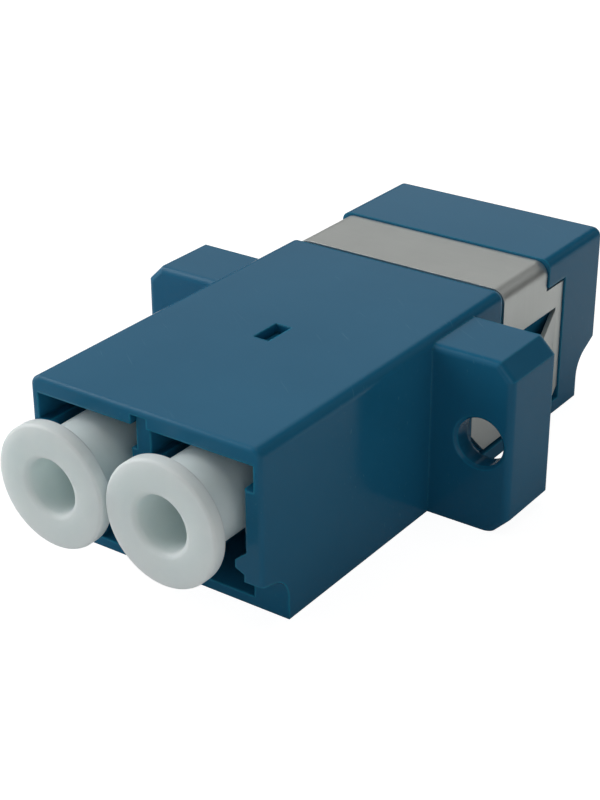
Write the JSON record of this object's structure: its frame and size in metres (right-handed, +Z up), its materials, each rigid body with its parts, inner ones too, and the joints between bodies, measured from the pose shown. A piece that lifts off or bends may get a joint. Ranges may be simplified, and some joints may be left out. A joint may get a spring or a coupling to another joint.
{
  "type": "lc fibre adapter",
  "caption": "Flanged fibre adapter that holds LC plugs end to end in aligned sleeves, with screw ears, a sprung panel clip and pull-out dust caps.",
  "frame": {"origin": "under the middle of the whole, caps in place, on the plane of the housing's underside", "axes": "+X to the right seen from the capped front, +Y from the capped front to the open rear, +Z up with the latch side of the ports below"},
  "size_m": [0.0218, 0.0336, 0.0093],
  "materials": {
    "blue_plastic": "satin",
    "spring_steel": "rolled",
    "zirconia": "polished",
    "soft_plastic": "satin"
  },
  "bodies": {
    "adapter": {"housing": "blue_plastic", "front_carrier": "blue_plastic", "rear_carrier": "blue_plastic", "panel_clip": "spring_steel", "sleeve_left": "zirconia", "sleeve_right": "zirconia"},
    "left_cap": {"dust_cap_left": "soft_plastic"},
    "right_cap": {"dust_cap_right": "soft_plastic"}
  },
  "joints": [
    {"name": "left_cap_pull", "type": "slide", "parent": "adapter", "child": "left_cap", "axis": [0, -1, 0], "range_m": [0, 0.014]},
    {"name": "right_cap_pull", "type": "slide", "parent": "adapter", "child": "right_cap", "axis": [0, -1, 0], "range_m": [0, 0.014]}
  ]
}
